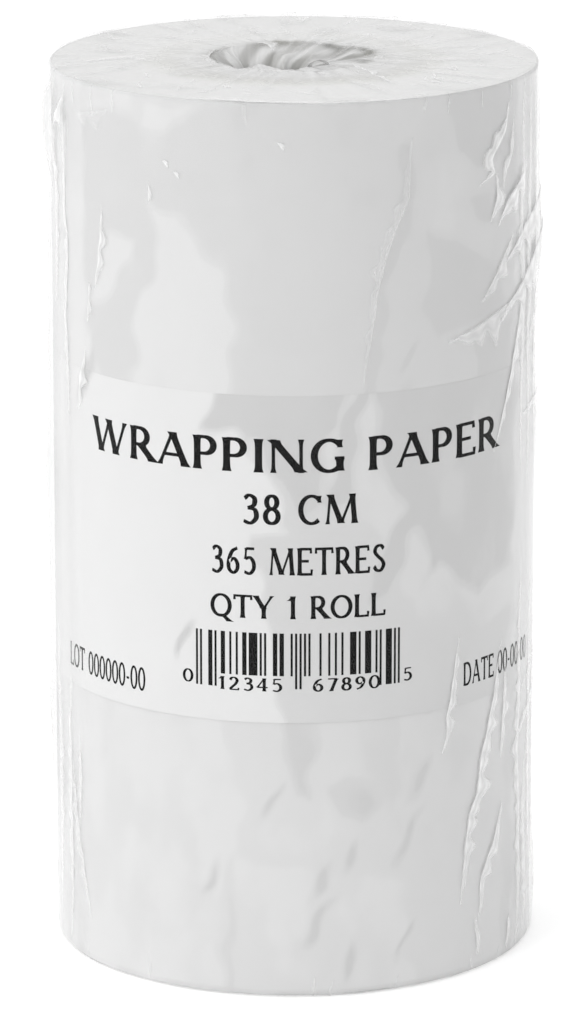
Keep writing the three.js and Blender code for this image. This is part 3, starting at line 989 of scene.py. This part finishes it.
# Folds that tension has pulled up over the roll's front: haze, the side of the path that is crisp
# (1 left or -1 right of its direction), and the path's angles, heights and widths in mm
SIDE_FOLDS = (
    (1.0, -1, ((60, 374, 3), (58, 361, 6), (54, 355, 9), (52, 351, 6), (54, 345, 5), (48, 341, 3))),
    (0.8, -1, ((62, 366, 2), (61, 352, 4), (58, 343, 4), (57, 336, 2))),
    (0.9, 1, ((54, 344, 3), (54.5, 334, 7), (52, 325, 4))),
    (1.0, 1, ((70, 346, 5), (65, 339, 10), (59, 332, 11), (55, 322, 3))),
    (1.0, 1, ((92, 331, 10), (84, 327, 14), (76, 322, 20), (69, 318, 15), (63, 311, 8), (58, 305, 3))),
    (1.0, 1, ((92, 318, 8), (82, 310, 14), (74, 301, 16), (66, 293, 10), (60, 287, 7), (56, 280, 5))),
    (0.6, 1, ((62, 289, 7), (54, 285, 13), (46, 281, 10), (38, 278, 5))),
    (1.0, 1, ((68, 298, 4), (65.5, 276, 6), (62, 260, 5), (59, 246, 4.5), (54, 226, 3))),
    (0.7, 1, ((62, 317, 5), (55, 303, 8), (49, 292, 5))),
    (0.35, -1, ((28, 366, 4), (27, 340, 6), (24, 328, 5), (21, 316, 6), (19.5, 300, 4), (16, 262, 4))),
    (0.9, 1, ((42, 150, 3), (39.5, 124, 4.5), (38, 115, 5), (38.5, 109, 6), (37, 101, 4))),
    (1.0, 1, ((58, 142, 3), (54, 115, 7), (51.5, 103, 8), (49.5, 92, 7), (48.8, 80, 9), (45.5, 69, 7),
              (44.3, 54, 9), (43, 32, 4))),
    (0.8, 1, ((60, 132, 3), (59, 113, 5), (58, 90, 4))),
    (0.9, 1, ((59, 71, 5), (55, 54, 7), (50.5, 43, 6), (49.6, 23, 4))),
    (0.8, 1, ((48, 24, 4), (49.3, 7, 4))),
    (0.8, 1, ((63, 19, 3), (61.6, 4, 3))),
    (1.0, 1, ((-68, 374, 3), (-71, 366, 8), (-74, 359, 4))),
    (0.3, 1, ((-48, 373, 6), (-55, 370, 9), (-60, 368, 5))),
    (0.9, 1, ((-50.6, 332, 3), (-51.5, 313, 5), (-53.5, 296, 4))),
    (0.7, 1, ((-55.8, 298, 4), (-56.8, 281, 4))),
    (1.0, 1, ((-57.6, 269, 3), (-60.5, 256, 7), (-61.2, 242, 4))),
    (0.9, 1, ((-35.5, 346, 1.8), (-35.4, 337, 1.8))),
    (1.0, 1, ((-31.6, 355.5, 1.8), (-30.6, 354, 2.6), (-30, 352.5, 1.8))),
    (1.0, 1, ((-28.6, 351.5, 1.8), (-27.6, 350, 2.6), (-27, 348.5, 1.8))),
    (1.0, 1, ((-4.0, 365.5, 1.6), (-3, 364, 2.4), (-2.4, 362.5, 1.6))),
    (0.6, -1, ((-62, 98, 3), (-61, 80, 4), (-62, 58, 3))),
    (0.5, -1, ((-66, 90, 4), (-63, 60, 6), (-57, 20, 4))),
)
# Over the top: a painted highlight, the key lamp's glint where the film turns over the front of the rim,
# laid as a bright milky fold, and folds that run from the mouth. Haze, crisp side, and angles, distances
# from the axis in mm and widths in mm
TOP_FOLDS = (
    # Painted highlight: the key lamp's glint on the front of the rim, as a fully milky fold
    (1.0, 1, ((-25, 102, 1.6), (-22, 101.2, 5), (-13, 101.2, 5), (-3, 101.6, 3), (9, 102.2, 1.6))),
    (0.7, 1, ((0, 102.4, 1.0), (18, 102.3, 1.2), (34, 102.4, 1.0))),
    (1.0, 1, ((62, 22, 3), (48, 36, 3), (39, 52, 3), (33, 73, 2))),
    (0.5, -1, ((20, 24, 4), (8, 33, 5), (-14, 37, 6), (-34, 36, 4))),
    (0.9, 1, ((-62, 37, 5), (-84, 34, 6), (-112, 36, 4))),
    (0.9, 1, ((-150, 39, 4), (-163, 33, 5), (-170, 26, 3))),
    (0.9, -1, ((178, 39, 4), (160, 37, 6), (136, 38, 5), (118, 40, 3))),
    (0.8, 1, ((100, 39, 3), (86, 33, 6), (70, 31, 4))),
    (0.9, 1, ((57, 67, 1.6), (54, 72, 1.8), (50, 75, 1.6), (48, 82, 1.8), (49, 90, 1.4))),
    (0.8, -1, ((51, 70, 1.4), (46, 76, 1.6), (47, 84, 1.4), (43, 88, 1.2))),
    (0.8, 1, ((-95, 60, 3), (-88, 75, 3), (-84, 92, 2))),
)


def streak_folds(rng):
    """Long slack folds down both edges of the front, and down the welded seam on the right."""
    folds = []
    for base in (68.5, 73, 78, 84, 92, 97, 102, -67, -76, -86):
        for low, high in ((rng.uniform(185, 290), 379), (6, rng.uniform(70, 175))):
            heights = np.linspace(low, high, 7)
            path = [(base + rng.uniform(-1, 1), h, rng.uniform(3, 7)) for h in heights]
            folds.append((rng.uniform(0.5, 0.9), rng.choice([-1, 1]), side_path(path)))
    return folds


def back_folds(rng):
    """Short folds that run into the seam, and a few over the rest of the back."""
    folds = []
    for _ in range(24):
        h, slope = rng.uniform(15, 365), rng.uniform(-22, 22)
        reach = rng.uniform(8, 26) * rng.choice([-1, 1], p=[0.25, 0.75])
        start = 97 + np.sign(reach) * 6
        path = [(start + reach * t, min(max(h + slope * t * t, 6), 376)) for t in (0, 0.35, 0.7, 1)]
        folds.append((rng.uniform(0.5, 0.9), rng.choice([-1, 1]), side_path(path, rng.uniform(1.8, 5))))
    for _ in range(30):
        a, h = rng.uniform(112, 285), rng.uniform(30, 350)
        tall, drift = rng.uniform(14, 60), rng.uniform(-7, 7)
        path = [(a + drift * t, min(max(h + tall * (t - 0.5), 6), 377)) for t in (0, 0.3, 0.6, 1)]
        folds.append((rng.uniform(0.2, 0.55), rng.choice([-1, 1]), side_path(path, rng.uniform(1.6, 5))))
    return folds


def rim_folds(rng):
    """Short pleats where the film bends over the roll's edges."""
    folds = []
    for edge, sign in ((at_height(FILM_TOP - RIM_BEND), 1), (at_height(FILM_FOOT + RIM_BEND), -1)):
        for a in np.arange(-178, 180, 7):
            a, width = a + rng.uniform(-3, 3), rng.uniform(1.0, 2.4)
            if rng.uniform() < 0.5:
                ends = (-rng.uniform(3, 12) * MM * sign, rng.uniform(3, 9) * MM * sign)
                path = [(a + rng.uniform(-1, 1), edge + d, width) for d in sorted((*ends, 0))]
                folds.append((rng.uniform(0.15, 0.5), rng.choice([-1, 1]), path))
    return folds


def mouth_folds(rng):
    """Pleats that run out from the mouth over the top face, and small creases on the rest of it."""
    folds = []
    for a in np.arange(-180, 180, 9):
        turn, a = rng.uniform(-8, 8), a + rng.uniform(-2.5, 2.5)
        start = rng.uniform(34, 44)
        end = rng.choice([rng.uniform(42, 50), rng.uniform(50, 80)], p=[0.6, 0.4])
        path = [(a, start), (a + turn * 0.4, (start + end) / 2), (a + turn, end)]
        folds.append((rng.uniform(0.1, 0.5), rng.choice([-1, 1]), top_path(path, rng.uniform(1.2, 3.4))))
    for _ in range(60):
        a, start = rng.uniform(-180, 180), rng.uniform(48, 90)
        path = [(a, start), (a + rng.uniform(-9, 9), min(start + rng.uniform(4, 16), 99))]
        folds.append((rng.uniform(0.25, 0.7), rng.choice([-1, 1]), top_path(path, rng.uniform(1.0, 3.0))))
    return folds


def mouth_curl():
    """The edge of the hole where it has rolled up into a small tube that points to the front."""
    rows, columns = 9, 28
    around = np.linspace(0, math.tau, columns + 1)[None, :-1]
    t = np.linspace(0, 1, rows)[:, None]
    radius = (2.6 + 1.6 * t ** 3 + 0.3 * np.sin(3 * around + 4 * t)) * MM
    x = 10.5 * MM + 1.3 * radius * np.cos(around)
    z = FILM_TOP - 2.2 * MM + 1.1 * MM * t + 0.8 * radius * np.sin(around)
    y = -6 * MM - 13 * MM * t + 0 * around
    points = np.stack(np.broadcast_arrays(x, y, z), -1)
    return points.reshape(-1, 3), grid_faces(rows, columns, closed_columns=True)


CURL_HAZE = 0.75                                # how milky the curl at the hole is


def film_folds(material):
    """Every fold and the curl as one piece. The last value of each fold is how far it stands up."""
    rng = np.random.default_rng(SEED + 5)
    folds = [(milk, crisp, side_path(path), 0.5) for milk, crisp, path in SIDE_FOLDS]
    folds += [(milk, crisp, top_path(path), 0.5) for milk, crisp, path in TOP_FOLDS]
    folds += [(*f, 0.3) for f in streak_folds(rng)]
    folds += [(*f, 0.5) for f in back_folds(rng) + rim_folds(rng)]
    folds += [(*f, 0.35) for f in mouth_folds(rng)]
    vertices, faces, haze = [], [], []
    for milk, crisp, path, stiff in folds:
        points, quads, values = fold(rng, path, milk, crisp, stiff)
        append_mesh(vertices, faces, points, quads)
        haze += values.tolist()
    points, quads = mouth_curl()
    append_mesh(vertices, faces, points, quads)
    haze += [CURL_HAZE] * len(points)
    piece = mesh_object("shrink_film_folds", vertices, faces, material)
    set_attribute(piece, "haze", haze)


# Stage

EYE = (0, -2.499, 0.8370)
DOWNWARD_TILT = 14.64                           # degrees


def camera():
    """In front of the roll and above it, looking down at about its middle through a long lens."""
    data = bpy.data.cameras.new("camera")
    data.lens = 211.4
    data.clip_end = 50
    data.shift_x = -0.0015
    eye = bpy.data.objects.new("camera", data)
    eye.location = EYE
    eye.rotation_euler = (math.radians(90 - DOWNWARD_TILT), 0, 0)
    bpy.context.scene.collection.objects.link(eye)
    bpy.context.scene.camera = eye


def softbox(name, place_at, size, power):
    """A rectangular lamp that points at about the middle of the roll."""
    data = bpy.data.lights.new(name, "AREA")
    data.shape = "RECTANGLE"
    data.size, data.size_y = size
    data.energy = power
    lamp = bpy.data.objects.new(name, data)
    lamp.location = place_at
    aim = Vector((0, 0, 0.2)) - Vector(place_at)
    lamp.rotation_euler = aim.to_track_quat("-Z", "Y").to_euler()
    bpy.context.scene.collection.objects.link(lamp)


def studio():
    """White surroundings, brightest above and to the left, with a soft lamp in front on the left and
    a fainter one behind on the right."""
    world = bpy.data.worlds.new("studio")
    bpy.context.scene.world = world
    world.use_nodes = True
    tree = world.node_tree
    direction = add_node(tree, "ShaderNodeTexCoord").outputs["Generated"]
    brightest = (-0.63, 0.27, 0.72)
    towards = add_node(tree, "ShaderNodeVectorMath", {0: direction, 1: brightest}, operation="DOT_PRODUCT")
    bright = add_node(tree, "ShaderNodeMapRange", {
        "Value": towards.outputs["Value"], "From Min": -1, "From Max": 1, "To Min": 0.18, "To Max": 1.13})
    tree.links.new(bright.outputs[0], tree.nodes["Background"].inputs["Strength"])
    tree.nodes["Background"].inputs["Color"].default_value = (1, 1, 1, 1)
    softbox("key", (-0.85, -1.25, 1.75), (0.35, 0.35), 4.2)
    softbox("rim", (1.7, 0.8, 0.8), (0.6, 1.0), 2)
    bpy.context.scene.view_settings.view_transform = "Standard"


def floor():
    """A plain pale floor, a little lit from itself so that it runs into the background."""
    material, tree, shader = material_nodes("floor", grey(0.96), 0.7)
    coloured(tree, shader, noise(tree, place(tree), 40, 2), grey(0.955), grey(0.965))
    shader.inputs["Emission Color"].default_value = (1, 1, 1, 1)
    shader.inputs["Emission Strength"].default_value = 0.28
    half_size = 8.0
    mesh = bpy.data.meshes.new("floor")
    corners = [(x * half_size, y * half_size, FLOOR_Z) for x, y in ((-1, -1), (1, -1), (1, 1), (-1, 1))]
    mesh.from_pydata(corners, [], [(0, 1, 2, 3)])
    mesh.materials.append(material)
    piece = bpy.data.objects.new("floor", mesh)
    bpy.context.scene.collection.objects.link(piece)


camera()
studio()
floor()
core(chipboard())
wound_paper(white_paper(), paper_edges())
label(label_paper())
label_print(ink())
tail_tapes(tape())
film_body(clear_film("film_skin", 0.84, 0.95))
# The folds' milk is whiter than the skin's (0.97 against 0.84): the folds are milky film, and the whiter
# colour is partly a painted highlight on their ridges.
film_folds(clear_film("film_folds", 0.97, 1.0))
